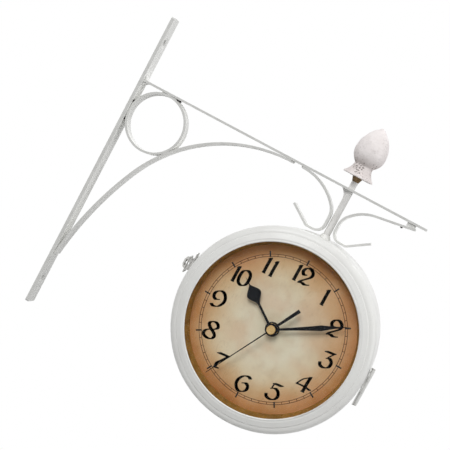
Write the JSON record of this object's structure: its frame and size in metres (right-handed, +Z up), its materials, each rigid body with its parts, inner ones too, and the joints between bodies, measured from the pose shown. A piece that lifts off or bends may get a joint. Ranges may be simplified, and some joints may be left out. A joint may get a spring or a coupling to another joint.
{
  "type": "double sided station clock",
  "caption": "Wall bracket clock with two dials: a round case hangs from a scrolled strip arm, swivels, and opens on a side hinge.",
  "frame": {"origin": "midway between the two wall-screw holes, on the back face of the wall bar", "axes": "+X away from the wall along the arm, +Z up, the front dial faces -Y"},
  "size_m": [0.307, 0.072, 0.29],
  "materials": {
    "bracket_paint": "aged off-white gloss enamel over welded strip",
    "case_paint": "off-white baked enamel on pressed sheet",
    "finial_wash": "rough cast resin, whitewashed over brown",
    "dark_brass": "darkened brass",
    "brass": "turned brass",
    "gilt": "gilt anodised ring",
    "dial_paper": "aged parchment print",
    "glass": "clear flat glass",
    "hand_black": "satin black enamel",
    "nickel": "nickel plate",
    "zinc_steel": "bright zinc",
    "movement_plastic": "black moulded",
    "knob_plastic": "natural moulded",
    "battery_sleeve": "printed sleeve left plain",
    "rubber": "soft black",
    "spring_steel": "blued spring strip"
  },
  "bodies": {
    "bracket": {"wall_bar": "bracket_paint", "arm_bar": "bracket_paint", "ring": "bracket_paint", "brace": "bracket_paint", "inner_scroll": "bracket_paint", "outer_scroll": "bracket_paint", "hanger_tube": "bracket_paint"},
    "clock_head": {"hanger_collar": "case_paint", "hanger_rod": "zinc_steel", "rod_washer": "zinc_steel", "rod_nut": "zinc_steel", "finial_socket": "dark_brass", "finial": "finial_wash", "rear_case": "case_paint", "rear_case_rivets": "zinc_steel", "rear_hinge_leaf": "case_paint", "hinge_pin": "case_paint", "latch_base": "nickel", "latch_pivots": "nickel", "rear_glass": "glass", "rear_spacer_ring": "gilt", "rear_dial": "dial_paper", "rear_retaining_ring": "spring_steel", "rear_movement_case": "movement_plastic", "rear_movement_nut": "brass", "rear_movement_washer": "rubber", "rear_battery": "battery_sleeve", "rear_battery_contacts": "zinc_steel"},
    "front_door": {"front_case": "case_paint", "front_case_rivets": "zinc_steel", "front_hinge_leaf": "case_paint", "latch_keeper": "nickel", "front_glass": "glass", "front_spacer_ring": "gilt", "front_dial": "dial_paper", "front_retaining_ring": "spring_steel", "front_movement_case": "movement_plastic", "front_movement_nut": "brass", "front_movement_washer": "rubber", "front_battery": "battery_sleeve", "front_battery_contacts": "zinc_steel"},
    "latch_lever": {"latch_lever": "nickel"},
    "latch_bail": {"latch_bail": "nickel"},
    "front_hour": {"front_hour_hand": "hand_black", "front_hour_arbor": "brass"},
    "front_minute": {"front_minute_hand": "hand_black", "front_minute_arbor": "brass"},
    "front_second": {"front_second_hand": "hand_black", "front_second_arbor": "brass"},
    "front_knob": {"front_setting_knob": "knob_plastic"},
    "rear_hour": {"rear_hour_hand": "hand_black", "rear_hour_arbor": "brass"},
    "rear_minute": {"rear_minute_hand": "hand_black", "rear_minute_arbor": "brass"},
    "rear_second": {"rear_second_hand": "hand_black", "rear_second_arbor": "brass"},
    "rear_knob": {"rear_setting_knob": "knob_plastic"}
  },
  "joints": [
    {"name": "head_swivel", "type": "hinge", "parent": "bracket", "child": "clock_head", "pos_m": [0.214, 0, 0.0356], "axis": [0, 0, 1], "continuous": true},
    {"name": "door_hinge", "type": "hinge", "parent": "clock_head", "child": "front_door", "pos_m": [0.30505, -0.012, -0.0594], "axis": [0, 0, 1], "range_deg": [0, 120]},
    {"name": "latch_lever_pivot", "type": "hinge", "parent": "clock_head", "child": "latch_lever", "pos_m": [0.12195, -0.005, -0.0414], "axis": [0, 0, 1], "range_deg": [-95, 0]},
    {"name": "latch_bail_pivot", "type": "hinge", "parent": "latch_lever", "child": "latch_bail", "pos_m": [0.11876, -0.00472, -0.0414], "axis": [0, 0, 1], "range_deg": [0, 90]},
    {"name": "front_minute_turn", "type": "hinge", "parent": "front_door", "child": "front_minute", "pos_m": [0.214, 0, -0.0534], "axis": [0, 1, 0], "continuous": true},
    {"name": "front_hour_turn", "type": "hinge", "parent": "front_door", "child": "front_hour", "pos_m": [0.214, 0, -0.0534], "axis": [0, 1, 0], "continuous": true},
    {"name": "front_second_turn", "type": "hinge", "parent": "front_door", "child": "front_second", "pos_m": [0.214, 0, -0.0534], "axis": [0, 1, 0], "continuous": true},
    {"name": "front_knob_turn", "type": "hinge", "parent": "front_door", "child": "front_knob", "pos_m": [0.214, 0, -0.0464], "axis": [0, 1, 0], "continuous": true},
    {"name": "rear_minute_turn", "type": "hinge", "parent": "clock_head", "child": "rear_minute", "pos_m": [0.214, 0, -0.0534], "axis": [0, -1, 0], "continuous": true},
    {"name": "rear_hour_turn", "type": "hinge", "parent": "clock_head", "child": "rear_hour", "pos_m": [0.214, 0, -0.0534], "axis": [0, -1, 0], "continuous": true},
    {"name": "rear_second_turn", "type": "hinge", "parent": "clock_head", "child": "rear_second", "pos_m": [0.214, 0, -0.0534], "axis": [0, -1, 0], "continuous": true},
    {"name": "rear_knob_turn", "type": "hinge", "parent": "clock_head", "child": "rear_knob", "pos_m": [0.214, 0, -0.0464], "axis": [0, -1, 0], "continuous": true}
  ],
  "couplings": [
    {"joint": "latch_bail_pivot", "follows": "latch_lever_pivot", "ratio": -0.94737},
    {"joint": "front_hour_turn", "follows": "front_minute_turn", "ratio": 0.083333},
    {"joint": "front_knob_turn", "follows": "front_minute_turn", "ratio": -0.33333},
    {"joint": "rear_hour_turn", "follows": "rear_minute_turn", "ratio": 0.083333},
    {"joint": "rear_knob_turn", "follows": "rear_minute_turn", "ratio": -0.33333}
  ]
}
